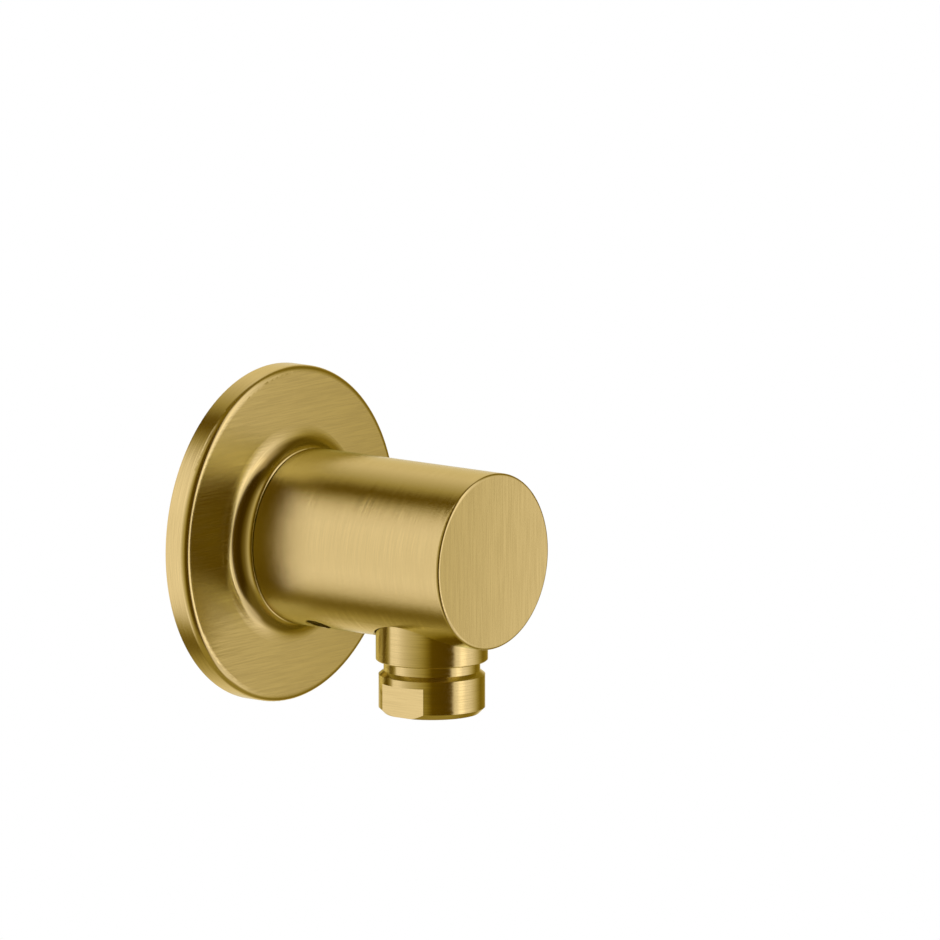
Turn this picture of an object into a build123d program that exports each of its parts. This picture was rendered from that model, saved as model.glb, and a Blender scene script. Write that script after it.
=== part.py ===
from build123d import *
from build123d import SkipClean
import math
import os

# Millimetres. The wall is the plane y = 0, the body's axis runs out along -Y and the outlet points down.
# "Distance" is measured out from the wall, "drop" down from the body's axis.

# Wall flange, pressed from sheet
flange_radius = 33.3
flange_depth = 5.2
flange_sheet = 0.85
flange_bend = 0.65  # inside radius of the bend at the rim
neck_root = 4.2  # hollow radius between the face and the neck
neck_lean = 10.0  # degrees, of the neck towards the body's axis
neck_land = 0.335  # straight length of the neck above that hollow
neck_clearance = 0.15  # between the neck's lip and the body's tail
lip_round = 0.38
lip_share = 0.45  # most of the sheet that one lip round may take
lip_gap = 0.15  # between the neck's lip and the body's shoulder

# Body, turned from bar with a closed front
body_radius = 17.45
outlet_distance = 40.2  # of the outlet's axis, which sets how far the body stands out
body_rear = 2.0  # distance of its rear end from the wall
front_edge = 0.6
front_wall = 4.2  # left between the collar's counterbore and the front
edge_break = 0.25
shoulder_edge = 0.15
grip_section = 1.0  # of the rubber ring under the neck, a radius
grip_setback = 2.4  # from the neck's lip to that ring

# Ways through the body
socket_radius = 10.0
socket_wall = 3.2  # left between the socket and the outlet's thread
waterway_radius = 6.0
waterway_overrun = 6.3  # past the outlet's axis
drill_half_angle = 59.0

# Pipe thread of both ends, drawn at its outside diameter
pipe_thread_radius = 20.955 / 2

# Wall nipple
wall_thread_length = 14.0
wall_thread_chamfer = 1.0
nipple_bore = 5.75
nipple_groove_depth = 1.6
nipple_ring_setback = 3.95  # from the grub screw to the first sealing ring
nipple_ring_spacing = 3.5
nipple_tip = 2.5  # from the last sealing ring to the nipple's front end
nipple_front_gap = 0.5
nipple_front_chamfer = 0.6
nipple_key_across = 12.0
nipple_key_depth = 8.0

# Grub screw, under the body and turned a little to one side
screw_radius = 2.45
screw_lean = 24.7
screw_mouth_edge = 0.25  # countersink of the screw's hole
screw_recess = 1.6  # from the body's surface to the screw
screw_key_across = 2.5
screw_key_depth = 2.5
screw_chamfer = 0.45
screw_notch_depth = 1.0  # notch round the wall nipple that takes the screw's point

# Hose nipple, screwed up into the body
outlet_top_gap = 0.5  # between the waterway and the nipple's upper end
outlet_hole_overlap = 1.0  # how far the tapped hole cuts into the waterway
outlet_wall = 1.15  # between the cartridge's chamber and the ring groove
outlet_groove_depth = 0.65
outlet_seat_step = 0.9
collar_shoulder = 1.13  # the collar's seat outside the sealing ring
collar_sink = 0.3  # least depth of the collar's counterbore in the round body
collar_gap = 0.27
collar_drop = 3.65  # below the underside of the body
collar_edge = 0.2
relief_width = 2.0
relief_depth = 0.98
hose_thread_length = 8.45
thread_lead_in = 0.8
thread_end_chamfer = 1.1
outlet_bore = 5.5
spanner_across = 18.3
spanner_height = 6.25

# Non-return cartridge inside the hose nipple
cartridge_radius = 7.0
cartridge_wall = 1.1
cartridge_recess = 1.5  # below the nipple's upper end
cartridge_groove_depth = 0.9
valve_seat_height = 2.6
valve_seat_overlap = 0.9  # of the sealing ring on its seat
valve_seat_lead_in = 0.6
valve_seal_height = 0.8
poppet_flow_gap = 0.8  # round the poppet's plate
poppet_plate = 1.0
poppet_travel = 3.0
poppet_head_gap = 0.6  # between the poppet's head and the seat
poppet_head_overhang = 0.45
poppet_head_height = 0.5
poppet_boss_height = 0.7
poppet_stop_gap = 0.9  # left above the guide when the poppet is open
poppet_stem_radius = 1.2
poppet_stem_grip = 3.4  # length of stem in the guide when the poppet is shut
guide_height = 2.5
guide_rim = 0.95
guide_rib_width = 1.0
guide_rib_count = 3
spring_wire_radius = 0.25
spring_radius = 3.0
spring_space = 8.5
spring_play = 0.35
spring_turns = 5

# Clearances
fit_clearance = 0.1  # pieces that slide or screw together
seat_clearance = 0.05  # faces that rest on each other
seal_clearance = 0.03  # rubber against its seats
groove_side_play = 0.3
same_place = 0.01  # points closer than this count as one

# Flange neck, out from the wall: its lip lies flush with the body, against the body's shoulder
neck_slope = math.radians(neck_lean)
neck_tangent = neck_root * math.tan((math.pi / 2 - neck_slope) / 2)
neck_rise = (neck_tangent + neck_land) * math.cos(neck_slope)
neck_reach = flange_depth + neck_rise
neck_foot = body_radius + neck_rise * math.tan(neck_slope)  # where the neck's line would meet the face
lip_bore = body_radius - flange_sheet / math.cos(neck_slope)
tail_radius = lip_bore - neck_clearance
shoulder_distance = neck_reach + lip_gap

# Grip ring, between the body's tail and the inside of the neck's hollow
grip_distance = neck_reach - grip_setback
grip_reach = neck_root + flange_sheet + seal_clearance + grip_section  # from the hollow's centre
grip_rise = flange_depth + neck_root - grip_distance
grip_middle = neck_foot + neck_tangent - math.sqrt(grip_reach**2 - grip_rise**2)
grip_root = grip_middle - grip_section - seal_clearance
grip_seat = grip_middle + grip_section + seal_clearance

# Hose nipple, from its chamber outwards
chamber_radius = cartridge_radius + fit_clearance
outlet_groove_root = chamber_radius + outlet_wall
outlet_spigot_radius = outlet_groove_root + outlet_groove_depth
outlet_thread_radius = outlet_spigot_radius + fit_clearance
outlet_seat_radius = outlet_thread_radius + outlet_seat_step
collar_radius = outlet_seat_radius + collar_shoulder
counterbore_radius = collar_radius + collar_gap
relief_radius = pipe_thread_radius - relief_depth

# Body, from the outlet's axis to the front
waterway_end = outlet_distance + waterway_overrun
body_reach = outlet_distance + counterbore_radius + front_wall

# Wall nipple in its socket, from the outlet's axis back to the wall
spigot_radius = socket_radius - fit_clearance
nipple_groove_root = spigot_radius - nipple_groove_depth
socket_end = outlet_distance - outlet_thread_radius - socket_wall
spigot_end = socket_end - nipple_front_gap
front_ring_distance = spigot_end - nipple_tip
rear_ring_distance = front_ring_distance - nipple_ring_spacing
screw_distance = rear_ring_distance - nipple_ring_setback

# Hose nipple, down from the body's axis
outlet_hole_top = waterway_radius - outlet_hole_overlap
outlet_spigot_top = waterway_radius + outlet_top_gap
collar_seat = math.sqrt(body_radius**2 - counterbore_radius**2) - collar_sink
outlet_seat_top = collar_seat - (outlet_seat_radius - outlet_groove_root) - groove_side_play / 2
collar_end = body_radius + collar_drop
thread_start = collar_end + relief_width
thread_end = thread_start + hose_thread_length

# Cartridge, from its wall inwards and down from the body's axis
cartridge_bore = cartridge_radius - cartridge_wall
cartridge_groove_root = cartridge_radius - cartridge_groove_depth
poppet_radius = cartridge_bore - poppet_flow_gap
valve_seat_radius = poppet_radius - valve_seat_overlap
poppet_head_radius = valve_seat_radius - poppet_head_gap
poppet_button_radius = poppet_head_radius - poppet_head_overhang
spring_boss_radius = spring_radius - spring_wire_radius - spring_play
cartridge_top = outlet_spigot_top + cartridge_recess
cartridge_ring_drop = cartridge_top + valve_seat_height / 2
valve_seat = cartridge_top + valve_seat_height
seal_top = valve_seat + seat_clearance
plate_top = seal_top + valve_seal_height + seat_clearance
plate_bottom = plate_top + poppet_plate
guide_boss_top = plate_bottom + poppet_boss_height + poppet_travel + poppet_stop_gap
stem_end = guide_boss_top + poppet_stem_grip
guide_top = plate_bottom + spring_space
cartridge_bottom = guide_top + guide_height
cartridge_floor = cartridge_bottom + seat_clearance

# Working planes: local x is a radius, local y runs along the axis
wall_axis = Plane(origin=(0, 0, 0), x_dir=(1, 0, 0), z_dir=(0, 0, -1))
outlet_axis = Plane(origin=(0, -outlet_distance, 0), x_dir=(1, 0, 0), z_dir=(0, 1, 0))
lean = math.radians(screw_lean)
screw_axis = Plane(
    origin=(0, -screw_distance, 0),
    x_dir=(0, 1, 0),
    z_dir=(-math.cos(lean), 0, math.sin(lean)),
)


def turned(plane, profile):
    return revolve(plane * profile, Axis(plane.origin, plane.y_dir), clean=SkipClean.clean)


def outline(*points):
    return make_face(Polyline(*points, close=True))


def rod(plane, radius, start, end):
    return turned(plane, outline((0, start), (radius, start), (radius, end), (0, end)))


def ring(plane, inner, outer, start, end):
    return turned(plane, outline((inner, start), (outer, start), (outer, end), (inner, end)))


def hexagon_rod(plane, across, start, end):
    end_plane = Plane(origin=plane.origin + plane.y_dir * start, x_dir=plane.x_dir, z_dir=plane.y_dir)
    return extrude(end_plane * RegularPolygon(across / 2, 6, major_radius=False), end - start)


def seal_ring(plane, inner, outer, middle):
    section = (outer - inner) / 2 - seal_clearance
    return turned(plane, Pos((inner + outer) / 2, middle) * Circle(section))


def seal_groove(plane, root, surface, seat, middle):
    half_width = (seat - root + groove_side_play) / 2
    return ring(plane, root, surface + fit_clearance, middle - half_width, middle + half_width)


def wall_flange():
    rim_inside = flange_radius - flange_sheet
    back = flange_depth - flange_sheet
    front_line = FilletPolyline(
        (flange_radius, 0),
        (flange_radius, flange_depth),
        (neck_foot, flange_depth),
        (body_radius, neck_reach),
        radius=[flange_bend + flange_sheet, neck_root],
    )
    back_line = FilletPolyline(
        (rim_inside, 0),
        (rim_inside, back),
        (lip_bore + (neck_reach - back) * math.tan(neck_slope), back),
        (lip_bore, neck_reach),
        radius=[flange_bend, neck_root + flange_sheet],
    )
    rim_line = Line((rim_inside, 0), (flange_radius, 0))
    lip_line = Line((body_radius, neck_reach), (lip_bore, neck_reach))
    sheet = turned(wall_axis, make_face([front_line, lip_line, back_line, rim_line]))
    lip_edges = sheet.edges().group_by(Axis.Y)[0]
    return fillet(lip_edges, min(lip_round, lip_share * flange_sheet))


def on_body_surface(edge):
    middle = edge.position_at(0.5)
    return abs(math.hypot(middle.X, middle.Z) - body_radius) < same_place


def elbow_body():
    bar = turned(
        wall_axis,
        outline(
            (0, body_rear),
            (tail_radius, body_rear),
            (tail_radius, shoulder_distance),
            (body_radius - shoulder_edge, shoulder_distance),
            (body_radius, shoulder_distance + shoulder_edge),
            (body_radius, body_reach),
            (0, body_reach),
        ),
    )
    front = bar.edges().group_by(Axis.Y)[0]
    body = fillet(front, front_edge)
    rear = body.edges().group_by(Axis.Y)[-1]
    body = chamfer(rear, edge_break)

    drill_point = waterway_radius / math.tan(math.radians(drill_half_angle))
    body -= turned(
        wall_axis,
        outline(
            (0, body_rear),
            (socket_radius + edge_break, body_rear),
            (socket_radius, body_rear + edge_break),
            (socket_radius, socket_end),
            (waterway_radius, socket_end),
            (waterway_radius, waterway_end),
            (0, waterway_end + drill_point),
        ),
    )
    outlet_mouth = turned(
        outlet_axis,
        outline(
            (0, outlet_hole_top),
            (outlet_thread_radius, outlet_hole_top),
            (outlet_thread_radius, outlet_seat_top),
            (outlet_seat_radius, outlet_seat_top),
            (outlet_seat_radius, collar_seat),
            (counterbore_radius, collar_seat),
            (counterbore_radius, 2 * body_radius),
            (0, 2 * body_radius),
        ),
    )
    body -= outlet_mouth
    mouth = body.edges().filter_by(GeomType.BSPLINE).filter_by(on_body_surface)
    body = chamfer(mouth, edge_break)

    hole_radius = screw_radius + fit_clearance
    mouth_rim = body_radius - screw_mouth_edge
    body -= turned(
        screw_axis,
        outline(
            (0, 0),
            (hole_radius, 0),
            (hole_radius, mouth_rim),
            (hole_radius + 2 * screw_mouth_edge, mouth_rim + 2 * screw_mouth_edge),
            (0, mouth_rim + 2 * screw_mouth_edge),
        ),
    )
    return body - seal_groove(wall_axis, grip_root, tail_radius, grip_seat, grip_distance)


def flange_grip_ring():
    return seal_ring(wall_axis, grip_root, grip_seat, grip_distance)


def wall_nipple():
    nipple = turned(
        wall_axis,
        outline(
            (nipple_bore, -wall_thread_length),
            (pipe_thread_radius - wall_thread_chamfer, -wall_thread_length),
            (pipe_thread_radius, wall_thread_chamfer - wall_thread_length),
            (pipe_thread_radius, 0),
            (spigot_radius, 0),
            (spigot_radius, screw_distance - screw_notch_depth),
            (spigot_radius - screw_notch_depth, screw_distance),
            (spigot_radius, screw_distance + screw_notch_depth),
            (spigot_radius, spigot_end - nipple_front_chamfer),
            (spigot_radius - nipple_front_chamfer, spigot_end),
            (nipple_bore, spigot_end),
        ),
    )
    for middle in (rear_ring_distance, front_ring_distance):
        nipple -= seal_groove(wall_axis, nipple_groove_root, spigot_radius, socket_radius, middle)
    return nipple - hexagon_rod(wall_axis, nipple_key_across, spigot_end - nipple_key_depth, spigot_end)


def nipple_o_ring(middle):
    return seal_ring(wall_axis, nipple_groove_root, socket_radius, middle)


def grub_screw():
    point = spigot_radius - screw_notch_depth + fit_clearance
    outer_end = body_radius - screw_recess
    screw = turned(
        screw_axis,
        outline(
            (0, point),
            (screw_radius, point + screw_radius),
            (screw_radius, outer_end - screw_chamfer),
            (screw_radius - screw_chamfer, outer_end),
            (0, outer_end),
        ),
    )
    return screw - hexagon_rod(screw_axis, screw_key_across, outer_end - screw_key_depth, outer_end)


def hose_nipple():
    profile = outline(
        (chamber_radius, outlet_spigot_top),
        (outlet_spigot_radius, outlet_spigot_top),
        (outlet_spigot_radius, outlet_seat_top),
        (outlet_groove_root, outlet_seat_top),
        (outlet_groove_root, collar_seat),
        (collar_radius, collar_seat),
        (collar_radius, collar_end - collar_edge),
        (collar_radius - collar_edge, collar_end),
        (relief_radius, collar_end),
        (relief_radius, thread_start),
        (pipe_thread_radius, thread_start + thread_lead_in),
        (pipe_thread_radius, thread_end - spanner_height),
        (pipe_thread_radius, thread_end - thread_end_chamfer),
        (pipe_thread_radius - thread_end_chamfer, thread_end),
        (outlet_bore, thread_end),
        (outlet_bore, cartridge_floor),
        (chamber_radius, cartridge_floor),
    )
    slab_width = pipe_thread_radius - spanner_across / 2
    slab_middle = (pipe_thread_radius + spanner_across / 2) / 2
    slab = Box(slab_width, 2 * pipe_thread_radius, spanner_height)
    # Faces aren't merged here, so the thread above the flats stays a full round wall of its own
    with SkipClean():
        nipple = turned(outlet_axis, profile)
        for side in (-1, 1):
            nipple -= Pos(side * slab_middle, -outlet_distance, spanner_height / 2 - thread_end) * slab
    return nipple


def hose_nipple_o_ring():
    middle = (outlet_seat_top + collar_seat) / 2
    return seal_ring(outlet_axis, outlet_groove_root, outlet_seat_radius, middle)


def valve_housing():
    housing = turned(
        outlet_axis,
        outline(
            (valve_seat_radius + valve_seat_lead_in, cartridge_top),
            (cartridge_radius, cartridge_top),
            (cartridge_radius, cartridge_bottom),
            (cartridge_bore, cartridge_bottom),
            (cartridge_bore, valve_seat),
            (valve_seat_radius, valve_seat),
            (valve_seat_radius, cartridge_top + valve_seat_lead_in),
        ),
    )
    return housing - seal_groove(
        outlet_axis, cartridge_groove_root, cartridge_radius, chamber_radius, cartridge_ring_drop
    )


def valve_o_ring():
    return seal_ring(outlet_axis, cartridge_groove_root, chamber_radius, cartridge_ring_drop)


def valve_poppet():
    head_bottom = seal_top - seat_clearance
    boss_end = plate_bottom + poppet_boss_height
    return turned(
        outlet_axis,
        outline(
            (0, head_bottom - poppet_head_height),
            (poppet_head_radius, head_bottom - poppet_head_height),
            (poppet_head_radius, head_bottom),
            (poppet_button_radius, head_bottom),
            (poppet_button_radius, plate_top),
            (poppet_radius, plate_top),
            (poppet_radius, plate_bottom),
            (spring_boss_radius, plate_bottom),
            (spring_boss_radius, boss_end),
            (poppet_stem_radius, boss_end),
            (poppet_stem_radius, stem_end),
            (0, stem_end),
        ),
    )


def valve_seal():
    inner = poppet_button_radius + seat_clearance
    return ring(outlet_axis, inner, poppet_radius, seal_top, seal_top + valve_seal_height)


def valve_guide():
    rim_radius = cartridge_bore - seat_clearance
    rim = ring(outlet_axis, rim_radius - guide_rim, rim_radius, guide_top, cartridge_bottom)
    boss = rod(outlet_axis, spring_boss_radius, guide_boss_top, cartridge_bottom)
    rib_length = rim_radius - guide_rim / 2
    rib = Pos(rib_length / 2, 0, 0) * Box(rib_length, guide_rib_width, guide_height)
    middle = Pos(0, -outlet_distance, -(guide_top + cartridge_bottom) / 2)
    guide = rim + boss
    for index in range(guide_rib_count):
        guide += middle * Rot(0, 0, 90 + 360 * index / guide_rib_count) * rib
    stem_hole = poppet_stem_radius + fit_clearance
    return guide - rod(outlet_axis, stem_hole, guide_boss_top, cartridge_bottom)


def valve_spring():
    top = plate_bottom + seat_clearance + spring_wire_radius
    height = guide_top - seat_clearance - spring_wire_radius - top
    coil = Helix(pitch=height / spring_turns, height=height, radius=spring_radius)
    wire = sweep(Plane(coil @ 0, z_dir=coil % 0) * Circle(spring_wire_radius), path=coil)
    return Pos(0, -outlet_distance, -top - height) * wire


os.makedirs("parts", exist_ok=True)
pieces = {
    "wall_flange": wall_flange(),
    "elbow_body": elbow_body(),
    "flange_grip_ring": flange_grip_ring(),
    "wall_nipple": wall_nipple(),
    "nipple_o_ring_rear": nipple_o_ring(rear_ring_distance),
    "nipple_o_ring_front": nipple_o_ring(front_ring_distance),
    "grub_screw": grub_screw(),
    "hose_nipple": hose_nipple(),
    "hose_nipple_o_ring": hose_nipple_o_ring(),
    "valve_housing": valve_housing(),
    "valve_o_ring": valve_o_ring(),
    "valve_poppet": valve_poppet(),
    "valve_seal": valve_seal(),
    "valve_guide": valve_guide(),
    "valve_spring": valve_spring(),
}
for node, piece in pieces.items():
    export_step(piece, f"parts/{node}.step")
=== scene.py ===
import bpy
import bmesh
import math
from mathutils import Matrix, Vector


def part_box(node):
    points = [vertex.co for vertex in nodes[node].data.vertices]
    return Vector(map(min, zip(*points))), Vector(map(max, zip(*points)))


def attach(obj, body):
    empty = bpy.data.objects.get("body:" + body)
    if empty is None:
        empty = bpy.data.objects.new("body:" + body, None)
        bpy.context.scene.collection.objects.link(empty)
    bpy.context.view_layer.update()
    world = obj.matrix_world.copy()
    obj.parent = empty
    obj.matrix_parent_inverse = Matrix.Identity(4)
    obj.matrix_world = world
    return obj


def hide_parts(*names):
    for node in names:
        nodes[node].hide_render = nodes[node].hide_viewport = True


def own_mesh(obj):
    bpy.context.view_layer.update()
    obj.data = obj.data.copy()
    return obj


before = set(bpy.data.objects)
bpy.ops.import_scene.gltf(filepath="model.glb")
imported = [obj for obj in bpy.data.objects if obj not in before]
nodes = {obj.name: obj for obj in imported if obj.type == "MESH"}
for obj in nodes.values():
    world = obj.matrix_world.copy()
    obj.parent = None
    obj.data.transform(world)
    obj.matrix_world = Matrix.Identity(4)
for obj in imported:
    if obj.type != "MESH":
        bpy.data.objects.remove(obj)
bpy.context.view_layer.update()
mm = 0.001
xAxis, yAxis, zAxis = (1, 0, 0), (0, 1, 0), (0, 0, 1)
print("frame loaded,", len(nodes), "CAD pieces")


class Value:  # a number in a node tree: arithmetic on it adds Math nodes
    def __init__(self, graph, socket):
        self.graph, self.socket = graph, socket

    def __add__(self, other):
        return self.graph.math("ADD", self, other)

    def __sub__(self, other):
        return self.graph.math("SUBTRACT", self, other)

    def __rsub__(self, other):
        return self.graph.math("SUBTRACT", other, self)

    def __mul__(self, other):
        return self.graph.math("MULTIPLY", self, other)

    def __truediv__(self, other):
        return self.graph.math("DIVIDE", self, other)

    def __abs__(self):
        return self.graph.math("ABSOLUTE", self)

    __rmul__ = __mul__


class Graph:  # a node tree that one method fills
    def __init__(self, tree):
        self.tree = tree
        tree.nodes.clear()

    def node(self, kind, settings=None, sockets=None):
        made = self.tree.nodes.new(kind)
        for key, value in (settings or {}).items():
            if key == "stops":
                ramp = made.color_ramp
                while len(ramp.elements) < len(value):
                    ramp.elements.new(0.5)
                for element, (place, colour) in zip(ramp.elements, value):
                    element.position, element.color = place, (*colour, 1)
            else:
                setattr(made, key, value)
        for key, value in (sockets or {}).items():
            if isinstance(value, Value):
                self.tree.links.new(value.socket, made.inputs[key])
            elif isinstance(value, bpy.types.NodeSocket):
                self.tree.links.new(value, made.inputs[key])
            else:
                made.inputs[key].default_value = value
        return made

    def math(self, operation, *values):
        made = self.node("ShaderNodeMath", {"operation": operation}, dict(enumerate(values)))
        return Value(self, made.outputs[0])

    def vector(self, operation, sockets):
        return self.node("ShaderNodeVectorMath", {"operation": operation}, sockets).outputs["Vector"]

    def split(self, vector):
        return [Value(self, part) for part in self.node("ShaderNodeSeparateXYZ", None, {0: vector}).outputs]

    def ranged(self, value, low, high, start=0.0, end=1.0, ease="SMOOTHSTEP"):
        made = self.node("ShaderNodeMapRange", {"interpolation_type": ease}, {
            "Value": value, "From Min": low, "From Max": high, "To Min": start, "To Max": end})
        return Value(self, made.outputs[0])

    def blend(self, factor, first, second):
        made = self.node("ShaderNodeMix", {"data_type": "RGBA"}, {0: factor, 6: first, 7: second})
        return made.outputs[2]


class Finish(Graph):  # one material
    def __init__(self, name):
        self.material = bpy.data.materials.new(name)
        self.material.use_nodes = True
        super().__init__(self.material.node_tree)
        self.output = self.node("ShaderNodeOutputMaterial")

    def place(self):
        return self.node("ShaderNodeTexCoord").outputs["Object"]

    def facing(self):  # the surface's normal along x, y and z
        return self.split(self.node("ShaderNodeTexCoord").outputs["Normal"])

    def noise(self, stretch, detail=2.0, roughness=0.5):  # stretch is waves per metre along x, y and z
        scaled = self.vector("MULTIPLY", {0: self.place(), 1: stretch})
        made = self.node("ShaderNodeTexNoise", None, {
            "Vector": scaled, "Scale": 1.0, "Detail": detail, "Roughness": roughness})
        return Value(self, made.outputs[0])

    def normal(self):
        return self.node("ShaderNodeNewGeometry").outputs["Normal"]

    def tilted(self, *tilts):  # the normal, leaned along each vector by its amount
        normal = self.normal()
        for towards, amount in tilts:
            lean = self.vector("SCALE", {0: towards, "Scale": amount})
            normal = self.vector("ADD", {0: normal, 1: lean})
        return self.vector("NORMALIZE", {0: normal})

    def grained(self, stretch, strength, depth):  # the normal with fine bumps
        sockets = {"Strength": strength, "Distance": depth, "Height": self.noise(stretch)}
        return self.node("ShaderNodeBump", None, sockets).outputs[0]

    def show(self, shader):
        self.tree.links.new(shader.outputs[0], self.output.inputs["Surface"])
        return self.material

    def surface(self, sockets):
        return self.show(self.node("ShaderNodeBsdfPrincipled", None, sockets))


class Rule(Graph):  # a Geometry Nodes tree with named sizes
    def __init__(self, name, sizes):
        super().__init__(bpy.data.node_groups.new(name, "GeometryNodeTree"))
        sockets = self.tree.interface
        sockets.new_socket("Geometry", in_out="INPUT", socket_type="NodeSocketGeometry")
        sockets.new_socket("Geometry", in_out="OUTPUT", socket_type="NodeSocketGeometry")
        self.sizes = {
            sockets.new_socket(key, in_out="INPUT", socket_type="NodeSocketFloat").identifier: value
            for key, value in sizes.items()}
        self.given = self.node("NodeGroupInput")

    def size(self, key):
        return Value(self, self.given.outputs[key])

    def grow(self, name, base, shape, material):  # runs the tree and keeps a plain mesh
        plain = self.node("GeometryNodeRealizeInstances", None, {0: shape})
        dressed = self.node("GeometryNodeSetMaterial", None, {
            "Geometry": plain.outputs[0], "Material": material})
        self.node("NodeGroupOutput", None, {0: dressed.outputs[0]})
        piece = bpy.data.objects.new(name, base)
        bpy.context.scene.collection.objects.link(piece)
        modifier = piece.modifiers.new(name, "NODES")
        modifier.node_group = self.tree
        for identifier, value in self.sizes.items():
            modifier[identifier] = value
        ready = piece.evaluated_get(bpy.context.evaluated_depsgraph_get())
        mesh = bpy.data.meshes.new_from_object(ready)
        piece.modifiers.remove(modifier)
        piece.data = mesh
        return piece


# Brushed brass: fine lines that vary its tone and gloss and lean its surface
brass = {
    "light": (0.78, 0.583, 0.262),
    "deep": (0.67, 0.495, 0.214),
    "glancing": (1.0, 0.9, 0.62),  # tint of what is reflected at a low angle
    "seen": (10000.0, 120.0),  # lines per metre, across and along
    "dulling": 0.4,  # how much rougher the darkest lines are, and how much smoother the lightest
    "unseen": (400000.0, 40000.0),  # too fine to see, so that they only spread what is reflected
    "flatFrom": (0.9, 0.985),  # how squarely a face looks along the flats' axis, from round to flat
}
# The flange's neck, in millimetres along y: its hollow is darkened in colour as painted shade, and its lip
# is rolled in
neck = {
    "hollow": (-8.3, -7.3, -6.5, -5.6),
    # painted shade: the dark colour mixed into the neck's hollow, and how much of it
    "paintedShade": (0.22, 0.13, 0.02),
    "share": 0.75,
    "lip": (-8.05, -8.9),
    "roll": 0.65,
}


def brushing(finish, acrossAxis, kind):
    across, along = brass[kind]
    return finish.noise([across if part else along for part in acrossAxis], detail=1.0) - 0.5


def brushedBrass(name, roundAxis, flatAxis, flatAcross, look, hasNeck=False):
    finish = Finish(name)
    flat = finish.ranged(abs(finish.facing()[flatAxis.index(1)]), *brass["flatFrom"])
    bent = 1 - flat
    roundLines = brushing(finish, roundAxis, "seen") * bent * look["streaks"][0]
    flatLines = brushing(finish, flatAcross, "seen") * flat * look["streaks"][1]
    lines = roundLines + flatLines
    tone = finish.ranged(lines - bent * look["shade"], -0.5, 0.5, ease="LINEAR")
    colour = finish.blend(tone, (*brass["deep"], 1), (*brass["light"], 1))
    dull, keen = 1 + brass["dulling"], 1 - brass["dulling"]
    gloss = finish.ranged(flat, 0, 1, *look["roughness"], ease="LINEAR")
    gloss = gloss * finish.ranged(lines, -1, 1, dull, keen, ease="LINEAR")
    outward = finish.vector("MULTIPLY", {0: finish.place(), 1: [1 - part for part in flatAxis]})
    lengthwise = finish.vector("CROSS_PRODUCT", {0: finish.normal(), 1: roundAxis})
    tilts = [
        (lengthwise, roundLines * look["sway"]),
        (roundAxis, brushing(finish, roundAxis, "unseen") * bent * look["spread"][0]),
        (flatAcross, brushing(finish, flatAcross, "unseen") * flat * look["spread"][1]),
        (outward, flat * look["dish"]),
        (xAxis, flat * look["tip"])]
    if hasNeck:
        y = finish.split(finish.place())[1] / mm
        top, upper, lower, root = neck["hollow"]
        # painted shade: the base colour turns dark brown in the neck's hollow, where shade falls
        hollow = finish.ranged(y, top, upper) * finish.ranged(y, root, lower)
        colour = finish.blend(hollow * neck["share"], colour, (*neck["paintedShade"], 1))
        tilts.append((yAxis, finish.ranged(y, *neck["lip"]) * -neck["roll"]))
    return finish.surface({
        "Base Color": colour,
        "Metallic": 1.0,
        "Specular Tint": (*brass["glancing"], 1),
        "Roughness": gloss,
        "Normal": finish.tilted(*tilts),
    })


# Pairs are for the round and the flat faces
flangeLook = {
    "roughness": (0.16, 0.18),
    "streaks": (3.0, 8.0),  # contrast of the lines
    "spread": (0.05, 0.8),  # lean of the unseen lines, across themselves
    "sway": 0.03,  # lean of the round faces' lines, along themselves
    "shade": 0,  # how much deeper the round faces' tone is
    "dish": 1.0,  # outward lean of the flat faces, for each metre from the middle
    "tip": 0.02,  # lean of the flat faces towards +X
}
bodyLook = {
    "roughness": (0.13, 0.22),
    "streaks": (3.0, 5.0),
    "spread": (0.55, 0.05),
    "sway": 0.045,
    "shade": 0.42,
    "dish": -2.5,
    "tip": -0.045,
}
outletLook = {
    "roughness": (0.14, 0.14),
    "streaks": (5.5, 2.4),
    "spread": (0.05, 0.05),
    "sway": 0.014,
    "shade": 0,
    "dish": 0,
    "tip": 0,
}
flangeBrass = brushedBrass("brushed_brass_flange", yAxis, yAxis, zAxis, flangeLook, hasNeck=True)
bodyBrass = brushedBrass("brushed_brass_body", yAxis, yAxis, xAxis, bodyLook)
outletBrass = brushedBrass("brushed_brass_outlet", zAxis, xAxis, zAxis, outletLook)

turned = {
    "light": (0.78, 0.58, 0.27),
    "deep": (0.66, 0.47, 0.19),
    "roughness": (0.22, 0.4),
    "marks": (90, 2600, 90),  # noise waves per metre along x, y and z
    "markLean": 0.12,
    "stains": (140, 140, 140),
    "stained": (0.35, 0.75),  # level of that noise where a stain starts, and where it is full
    "dulled": (0.2, 0.8),  # level of marks and stains where the brass starts to dull, and is dullest
}


def turnedBrass():  # lathe marks round the wall nipple
    finish = Finish("turned_brass")
    marks = finish.noise(turned["marks"])
    stain = finish.ranged(finish.noise(turned["stains"], detail=3.0), *turned["stained"])
    return finish.surface({
        "Base Color": finish.blend(stain, (*turned["light"], 1), (*turned["deep"], 1)),
        "Metallic": 1.0,
        "Roughness": finish.ranged((marks + stain) * 0.5, *turned["dulled"], *turned["roughness"]),
        "Normal": finish.tilted((yAxis, (marks - 0.5) * turned["markLean"])),
    })


rubber = {
    "dark": (0.012, 0.012, 0.013),
    "pale": (0.035, 0.034, 0.033),
    "roughness": (0.45, 0.65),
    "bloom": (300, 300, 300),
    "bloomed": (0.4, 0.8),
    "grain": (5000, 5000, 5000),
    "grainStrength": 0.25,
    "grainDepth": 0.03 * mm,
}


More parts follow.
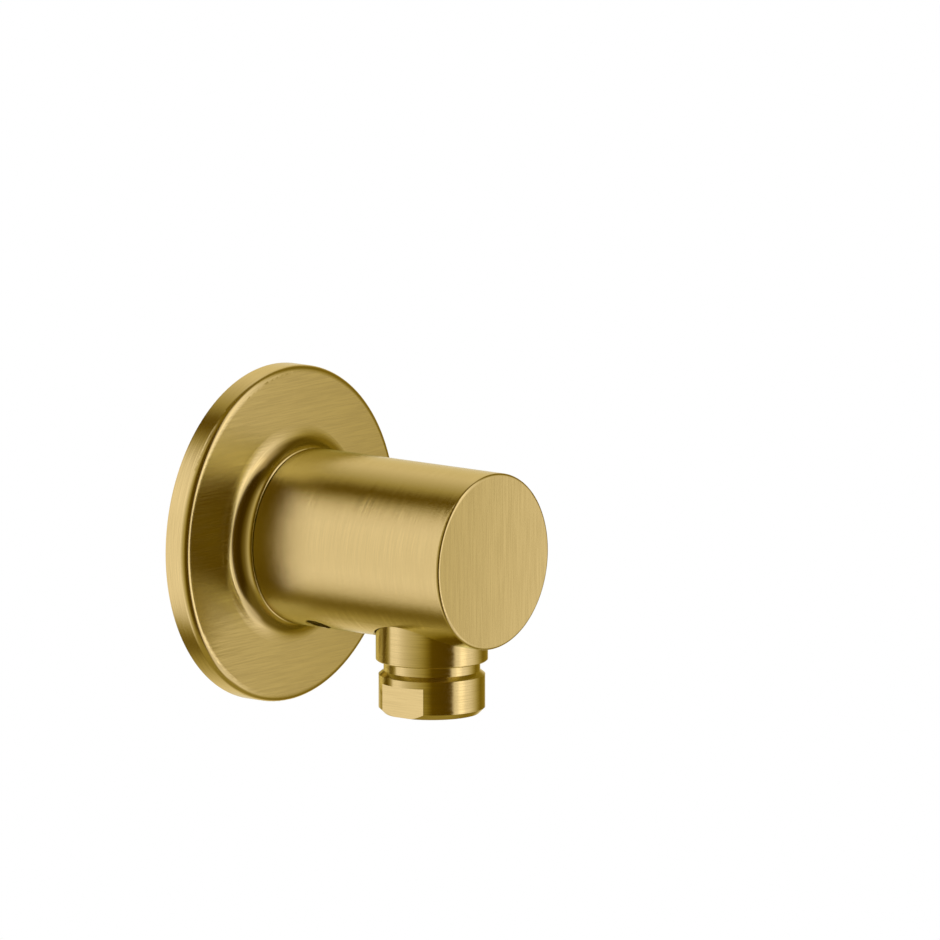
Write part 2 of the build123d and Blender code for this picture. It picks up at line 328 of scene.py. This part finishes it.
def blackRubber():
    finish = Finish("black_rubber")
    bloom = finish.ranged(finish.noise(rubber["bloom"], detail=4.0), *rubber["bloomed"])
    return finish.surface({
        "Base Color": finish.blend(bloom, (*rubber["dark"], 1), (*rubber["pale"], 1)),
        "Roughness": finish.ranged(bloom, 0, 1, *rubber["roughness"]),
        "Normal": finish.grained(rubber["grain"], rubber["grainStrength"], rubber["grainDepth"]),
    })


plastic = {
    "white": ((0.82, 0.82, 0.79), (0.76, 0.755, 0.72)),  # main colour, and the shade where it flowed last
    "grey": ((0.35, 0.37, 0.40), (0.31, 0.33, 0.36)),
    "roughness": (0.34, 0.46),
    "flow": (220, 220, 90),
    "flowed": (0.3, 0.7),
    "grain": (7000, 7000, 7000),
    "grainStrength": 0.3,
    "grainDepth": 0.02 * mm,
}


def mouldedPlastic(name, colour, shade):
    finish = Finish(name)
    flow = finish.ranged(finish.noise(plastic["flow"], detail=3.0), *plastic["flowed"])
    return finish.surface({
        "Base Color": finish.blend(flow, (*colour, 1), (*shade, 1)),
        "Roughness": finish.ranged(flow, 0, 1, *plastic["roughness"]),
        "Normal": finish.grained(plastic["grain"], plastic["grainStrength"], plastic["grainDepth"]),
    })


steel = {
    "dull": (0.40, 0.39, 0.37),
    "bright": (0.56, 0.55, 0.53),
    "roughness": (0.42, 0.24),  # where it is dull and bright
    "drawn": (900, 900, 900),
    "brightened": (0.3, 0.7),
}


def plainSteel():
    finish = Finish("plain_steel")
    drawn = finish.noise(steel["drawn"], detail=4.0, roughness=0.6)
    tone = finish.ranged(drawn, *steel["brightened"])
    return finish.surface({
        "Base Color": finish.blend(tone, (*steel["dull"], 1), (*steel["bright"], 1)),
        "Metallic": 1.0,
        "Roughness": finish.ranged(drawn, *steel["brightened"], *steel["roughness"]),
    })


rubberFinish = blackRubber()
whiteFinish = mouldedPlastic("white_plastic", *plastic["white"])
greyFinish = mouldedPlastic("grey_plastic", *plastic["grey"])
steelFinish = plainSteel()
turnedFinish = turnedBrass()

dressing = {
    "wall_flange": flangeBrass,
    "elbow_body": bodyBrass,
    "hose_nipple": outletBrass,
    "wall_nipple": turnedFinish,
    "grub_screw": steelFinish,
    "valve_spring": steelFinish,
    "valve_housing": whiteFinish,
    "valve_guide": whiteFinish,
    "valve_poppet": greyFinish,
    "flange_grip_ring": rubberFinish,
    "nipple_o_ring_rear": rubberFinish,
    "nipple_o_ring_front": rubberFinish,
    "hose_nipple_o_ring": rubberFinish,
    "valve_o_ring": rubberFinish,
    "valve_seal": rubberFinish,
}
for name, finish in dressing.items():
    nodes[name].data.materials.clear()
    nodes[name].data.materials.append(finish)
print("finishes on", len(dressing), "CAD pieces")

# Wall nipple with its pipe thread cut: millimetres, along y from the wall
nipple = {
    "outside": 20.955 / 2,
    "chamfer": 1.0,
    "end": 14.0,
    "bore": 5.75,
    "spigot": 9.9,
    "notch": (-17.55, 1.0),  # place and depth
    "grooves": (-21.5, -25.0),
    "grooveRoot": 8.3,
    "grooveHalf": 1.0,
    "tip": -27.5,
    "tipChamfer": 0.6,
    "keyAcross": 12.0,
    "keyEnd": -19.5,
    "segments": 144,
    "turnSteps": 12,  # rows of faces in one turn of the thread
    "flank": (0.1, 0.9),  # of the way from crest to root, where the flank starts and ends
    "fade": (0.2, 1.2),  # of the run-out, where the thread starts and is full
}
thread = {"pitch": 1.814 * mm, "depth": 1.162 * mm, "outside": nipple["outside"] * mm, "runOut": 1.9 * mm}


def keyRadius(angle):  # a hexagon's radius
    return nipple["keyAcross"] / 2 / math.cos(angle % (math.pi / 3) - math.pi / 6)


def nippleRows():  # (y, radius) round the section, with None where the hexagon is
    outside, chamfer, end = nipple["outside"], nipple["chamfer"], nipple["end"]
    spigot, tip, tipChamfer = nipple["spigot"], nipple["tip"], nipple["tipChamfer"]
    rows = [(end, nipple["bore"]), (end, outside - chamfer)]
    step = thread["pitch"] / mm / nipple["turnSteps"]
    count = int(end / step)
    for k in range(1, count + 1):
        y = end * (1 - k / count)
        rows.append((y, min(outside, outside - chamfer + end - y)))
    rows.append((0, spigot))
    place, depth = nipple["notch"]
    rows += [(place + depth, spigot), (place, spigot - depth), (place - depth, spigot)]
    for groove in nipple["grooves"]:
        upper, lower = groove + nipple["grooveHalf"], groove - nipple["grooveHalf"]
        rows += [(upper, spigot), (upper, nipple["grooveRoot"])]
        rows += [(lower, nipple["grooveRoot"]), (lower, spigot)]
    rows += [(tip + tipChamfer, spigot), (tip, spigot - tipChamfer)]
    rows += [(tip, None), (nipple["keyEnd"], None), (nipple["keyEnd"], nipple["bore"])]
    return rows


def turnedBlank(name, rows, segments):  # rows turned round the y axis and joined end to end
    mesh = bpy.data.meshes.new(name)
    blank = bmesh.new()
    loops = []
    for y, radius in rows:
        loop = []
        for k in range(segments):
            angle = 2 * math.pi * k / segments
            r = keyRadius(angle) if radius is None else radius
            loop.append(blank.verts.new((r * math.cos(angle) * mm, y * mm, r * math.sin(angle) * mm)))
        loops.append(loop)
    for first, second in zip(loops, loops[1:] + loops[:1]):
        for k in range(segments):
            after = (k + 1) % segments
            blank.faces.new((first[k], first[after], second[after], second[k]))
    bmesh.ops.recalc_face_normals(blank, faces=blank.faces)
    blank.to_mesh(mesh)
    blank.free()
    return mesh


def cutThread():
    rule = Rule("pipe_thread", thread)
    place = rule.node("GeometryNodeInputPosition").outputs[0]
    x, y, z = rule.split(place)
    radius = rule.math("SQRT", x * x + z * z)
    turn = y / rule.size("pitch") - rule.math("ARCTAN2", x, z) / (2 * math.pi)
    slope = 2 * rule.math("PINGPONG", turn, 0.5)  # 0 on the crest, 1 in the root
    shape = rule.ranged(slope, *nipple["flank"])
    fade = rule.ranged(y / rule.size("runOut"), *nipple["fade"])
    cut = rule.math("MINIMUM", radius, rule.size("outside") - rule.size("depth") * shape * fade)
    scale = cut / radius
    moved = rule.node("ShaderNodeCombineXYZ", None, {0: x * scale, 1: y, 2: z * scale})
    shaped = rule.node("GeometryNodeSetPosition", None, {
        0: rule.given.outputs[0], "Position": moved.outputs[0]})
    blank = turnedBlank("wall_nipple_blank", nippleRows(), nipple["segments"])
    return rule.grow("threaded_wall_nipple", blank, shaped.outputs[0], turnedFinish)


def smooth(piece, sharpFrom):  # smooth shading, with the edges over an angle kept sharp
    piece.data.shade_smooth()
    piece.data.set_sharp_from_angle(angle=math.radians(sharpFrom))


wallNipple = cutThread()
smooth(wallNipple, sharpFrom=40)
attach(wallNipple, "elbow")
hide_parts("wall_nipple")
print("wall nipple threaded,", len(wallNipple.data.polygons), "faces")

# Valve spring with closed ends, wound between the poppet and its guide
springLow, springHigh = (Vector(corner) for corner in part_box("valve_spring"))
wire = 0.25 * mm
spring = {
    "turns": 6.5,
    "radius": (springHigh.x - springLow.x) / 2 - wire,
    "height": springHigh.z - springLow.z - 2 * wire,
    "closed": 0.15,  # share of the height with the close turns of one end
    "closeness": 0.55,  # pitch there, against an even pitch
    "wire": wire,
}


def windSpring():
    stepsPerTurn, wireSides = 40, 12
    rule = Rule("valve_spring_coil", spring)
    line = rule.node("GeometryNodeCurveSpiral", None, {
        "Resolution": stepsPerTurn, "Rotations": rule.size("turns"), "Start Radius": rule.size("radius"),
        "End Radius": rule.size("radius"), "Height": 0.0})
    along = Value(rule, rule.node("GeometryNodeSplineParameter").outputs["Factor"])
    eased = rule.ranged(along, rule.size("closed"), 1 - rule.size("closed"))
    rise = along * rule.size("closeness") + eased * (1 - rule.size("closeness"))
    lift = rule.node("ShaderNodeCombineXYZ", None, {2: rise * rule.size("height")})
    risen = rule.node("GeometryNodeSetPosition", None, {0: line.outputs[0], "Offset": lift.outputs[0]})
    section = rule.node("GeometryNodeCurvePrimitiveCircle", None, {
        "Resolution": wireSides, "Radius": rule.size("wire")})
    tube = rule.node("GeometryNodeCurveToMesh", None, {
        "Curve": risen.outputs[0], "Profile Curve": section.outputs[0], "Fill Caps": True})
    middle = (springLow + springHigh) / 2
    placed = rule.node("GeometryNodeTransform", None, {
        "Geometry": tube.outputs[0], "Translation": (middle.x, middle.y, springLow.z + wire)})
    empty = bpy.data.meshes.new("valve_coil_spring")
    return rule.grow("valve_coil_spring", empty, placed.outputs[0], steelFinish)


valveSpring = windSpring()
smooth(valveSpring, sharpFrom=50)
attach(valveSpring, "elbow")
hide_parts("valve_spring")
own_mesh(valveSpring)
print("valve spring wound,", len(valveSpring.data.polygons), "faces")

# Studio: white all round, behind a dome of warm gel that only reflections see
studio = {
    "middle": (0, -0.025, 0),
    "reach": 2.0,
    "stripReach": 0.97,  # of the dome's reach
    "floorDrop": 2.5,
    "floorSize": 1.2,
    "floorColour": (0.8, 0.8, 0.8),
    "floorGlow": 0.6,
    "ambient": 0.7,
    "mostBounces": 1.5,  # that count, after the first
    "secondBounce": (0.80, 1.05, 1.3),  # for each time that more metal reflects the light
    "secondGel": (0.10, (1.0, 0.72, 0.06)),  # share of the shade that such light is spared, and its tint
}
# Light let through at each compass angle from +X, in degrees
around = [
    (0, 0.25), (16, 0.30), (30, 0.78), (49, 0.82), (62, 0.63), (78, 0.43), (95, 0.13), (103, 0.11),
    (110, 0.19), (118, 0.40), (125, 0.78), (131, 1.0), (145, 1.0), (153, 0.84), (165, 0.68), (177, 0.57),
    (187, 0.49), (198, 0.39), (208, 0.26), (218, 0.12), (254, 0.09), (262, 0.12), (268, 0.90), (274, 1.0),
    (302, 1.0), (309, 0.9), (325, 0.58), (335, 0.38), (346, 0.215), (360, 0.25)]
edgeLean = 0.02  # degrees round for each degree up
caps = {"above": (54, 76, 0.2), "below": (-43, -67, 0.35)}  # gel over and under: from, to and light there
gel = {"green": (1.05, 0.18), "blue": (1.5, 2.0)}  # powers of the light, and what shade adds to each
# Light strips in front of the gel: from, to and soft edges, in degrees
strips = {
    "front": {"azimuth": (274, 300, 8, 14), "elevation": (-42, 60, 16, 16), "glow": 1.45},
    "low": {"azimuth": (264, 310, 12, 14), "elevation": (-74, -30, 16, 12), "glow": 0.85},
    "back": {"azimuth": (122, 148, 4, 8), "elevation": (-40, 40, 20, 20), "glow": 1.04},
}


def gelTint(level):  # gel that lets less light through is warmer
    shade = (1 - level) ** 2
    return [level] + [level ** (power + added * shade) for power, added in gel.values()]


def dome(name, azimuths, elevations, reach, step=3.0):  # a patch of a sphere, with its angles as UV
    mesh = bpy.data.meshes.new(name)
    shell = bmesh.new()
    across = int((azimuths[1] - azimuths[0]) / step)
    up = int((elevations[1] - elevations[0]) / step)
    grid = []
    for j in range(up + 1):
        e = math.radians(elevations[0] + (elevations[1] - elevations[0]) * j / up)
        row = []
        for i in range(across + 1):
            a = math.radians(azimuths[0] + (azimuths[1] - azimuths[0]) * i / across)
            away = Vector((math.cos(a) * math.cos(e), math.sin(a) * math.cos(e), math.sin(e)))
            row.append(shell.verts.new(Vector(studio["middle"]) + away * reach))
        grid.append(row)
    layer = shell.loops.layers.uv.new("UVMap")
    for j in range(up):
        for i in range(across):
            corners = ((i, j), (i, j + 1), (i + 1, j + 1), (i + 1, j))
            face = shell.faces.new([grid[y][x] for x, y in corners])
            for loop, (x, y) in zip(face.loops, corners):
                loop[layer].uv = (x / across, y / up)
    shell.to_mesh(mesh)
    shell.free()
    made = bpy.data.objects.new(name, mesh)
    bpy.context.scene.collection.objects.link(made)
    made.visible_camera = made.visible_diffuse = made.visible_shadow = False
    made.visible_transmission = made.visible_volume_scatter = False
    return made


def bouncesMore(graph):  # how often the metal reflects light again after the first time
    depth = Value(graph, graph.node("ShaderNodeLightPath").outputs["Glossy Depth"])
    return graph.math("MINIMUM", graph.math("MAXIMUM", depth - 1, 0), studio["mostBounces"])


def bounceTint(graph):
    parts = [graph.math("POWER", part, bouncesMore(graph)) for part in studio["secondBounce"]]
    return graph.node("ShaderNodeCombineColor", None, dict(enumerate(parts))).outputs[0]


def gelDome():
    top = 89.0
    finish = Finish("warm_gel")
    u, v, _ = finish.split(finish.node("ShaderNodeUVMap").outputs[0])
    stops = [(angle / 360, gelTint(level)) for angle, level in around]
    height = v * (2 * top) - top
    turn = finish.math("FRACT", u + height * (edgeLean / 360))
    tint = finish.node("ShaderNodeValToRGB", {"stops": stops}, {0: turn}).outputs[0]
    for start, end, level in caps.values():
        tint = finish.blend(finish.ranged(height, start, end), tint, (*gelTint(level), 1))
    share, spared = studio["secondGel"]
    tint = finish.blend(finish.math("MINIMUM", bouncesMore(finish), 1) * share, tint, (*spared, 1))
    material = finish.show(finish.node("ShaderNodeBsdfTransparent", None, {"Color": tint}))
    dome("gel_dome", (0, 360), (-top, top), studio["reach"]).data.materials.append(material)


def stripLight(name, strip):
    finish = Finish(name + "_strip")
    u, v, _ = finish.split(finish.node("ShaderNodeUVMap").outputs[0])
    fade = 1.0
    for along, (start, end, softStart, softEnd) in ((u, strip["azimuth"]), (v, strip["elevation"])):
        fade = finish.ranged(along, 0, softStart / (end - start)) * fade
        fade = finish.ranged(along, 1, 1 - softEnd / (end - start)) * fade
    clear = finish.node("ShaderNodeBsdfTransparent")
    lamp = finish.node("ShaderNodeEmission", None, {"Color": bounceTint(finish), "Strength": strip["glow"]})
    mixed = finish.node("ShaderNodeMixShader", None, {0: fade, 1: clear.outputs[0], 2: lamp.outputs[0]})
    reach = studio["reach"] * studio["stripReach"]
    panel = dome(name + "_strip", strip["azimuth"], strip["elevation"], reach)
    panel.data.materials.append(finish.show(mixed))


def paleFloor():
    finish = Finish("pale_floor")
    path = finish.node("ShaderNodeLightPath")
    plain = finish.node("ShaderNodeBsdfDiffuse", None, {"Color": (*studio["floorColour"], 1)})
    glow = finish.node("ShaderNodeEmission", None, {"Color": (1, 1, 1, 1), "Strength": studio["floorGlow"]})
    white = finish.node("ShaderNodeEmission", None, {"Color": (1, 1, 1, 1), "Strength": 1.0})
    shadowed = finish.node("ShaderNodeAddShader", None, {0: plain.outputs[0], 1: glow.outputs[0]})
    seen = Value(finish, path.outputs["Is Camera Ray"])
    mirrored = Value(finish, path.outputs["Is Glossy Ray"])
    mirrored = mirrored + Value(finish, path.outputs["Is Transmission Ray"])
    first = finish.node("ShaderNodeMixShader", None, {0: seen, 1: plain.outputs[0], 2: shadowed.outputs[0]})
    last = finish.node("ShaderNodeMixShader", None, {0: mirrored, 1: first.outputs[0], 2: white.outputs[0]})
    half = studio["floorSize"] / 2
    mesh = bpy.data.meshes.new("floor")
    corners = [(-half, -half), (half, -half), (half, half), (-half, half)]
    mesh.from_pydata([(x, y, -studio["floorDrop"]) for x, y in corners], [], [(0, 1, 2, 3)])
    mesh.materials.append(finish.show(last))
    floor = bpy.data.objects.new("floor", mesh)
    bpy.context.scene.collection.objects.link(floor)


def whiteWorld():
    world = bpy.data.worlds.new("studio")
    bpy.context.scene.world = world
    world.use_nodes = True
    graph = Graph(world.node_tree)
    path = graph.node("ShaderNodeLightPath")
    white = Value(graph, path.outputs["Is Camera Ray"]) + Value(graph, path.outputs["Is Glossy Ray"])
    white = white + Value(graph, path.outputs["Is Transmission Ray"])
    level = graph.ranged(white, 0, 1, studio["ambient"], 1.0, ease="LINEAR")
    backdrop = graph.node("ShaderNodeBackground", None, {"Color": bounceTint(graph), "Strength": level})
    graph.node("ShaderNodeOutputWorld", None, {"Surface": backdrop.outputs[0]})


gelDome()
for name, strip in strips.items():
    stripLight(name, strip)
paleFloor()
whiteWorld()
bpy.context.scene.view_settings.view_transform = "Standard"
print("studio ready,", len(strips), "light strips")

# Camera on the photograph's line of sight
shot = {
    "target": (25.88 * mm, -29.14 * mm, 11.79 * mm),
    "azimuth": -51.449,
    "elevation": 9.996,
    "frame": 184.8 * mm,  # width seen at the target
    "lens": 1600.0,
    "sensor": 36.0,
    "clip": (0.1, 30.0),  # metres from the camera, and past the target
}
camera = bpy.data.cameras.new("camera")
camera.lens, camera.sensor_width = shot["lens"], shot["sensor"]
a, e = math.radians(shot["azimuth"]), math.radians(shot["elevation"])
back = Vector((math.sin(a) * math.cos(e), -math.cos(a) * math.cos(e), math.sin(e)))
distance = shot["frame"] * shot["lens"] / shot["sensor"]
cameraObject = bpy.data.objects.new("camera", camera)
cameraObject.location = Vector(shot["target"]) + back * distance
cameraObject.rotation_mode = "QUATERNION"
cameraObject.rotation_quaternion = (-back).to_track_quat("-Z", "Y")
camera.clip_start, camera.clip_end = shot["clip"][0], distance + shot["clip"][1]
bpy.context.scene.collection.objects.link(cameraObject)
bpy.context.scene.camera = cameraObject
print("camera", round(distance, 3), "m away")
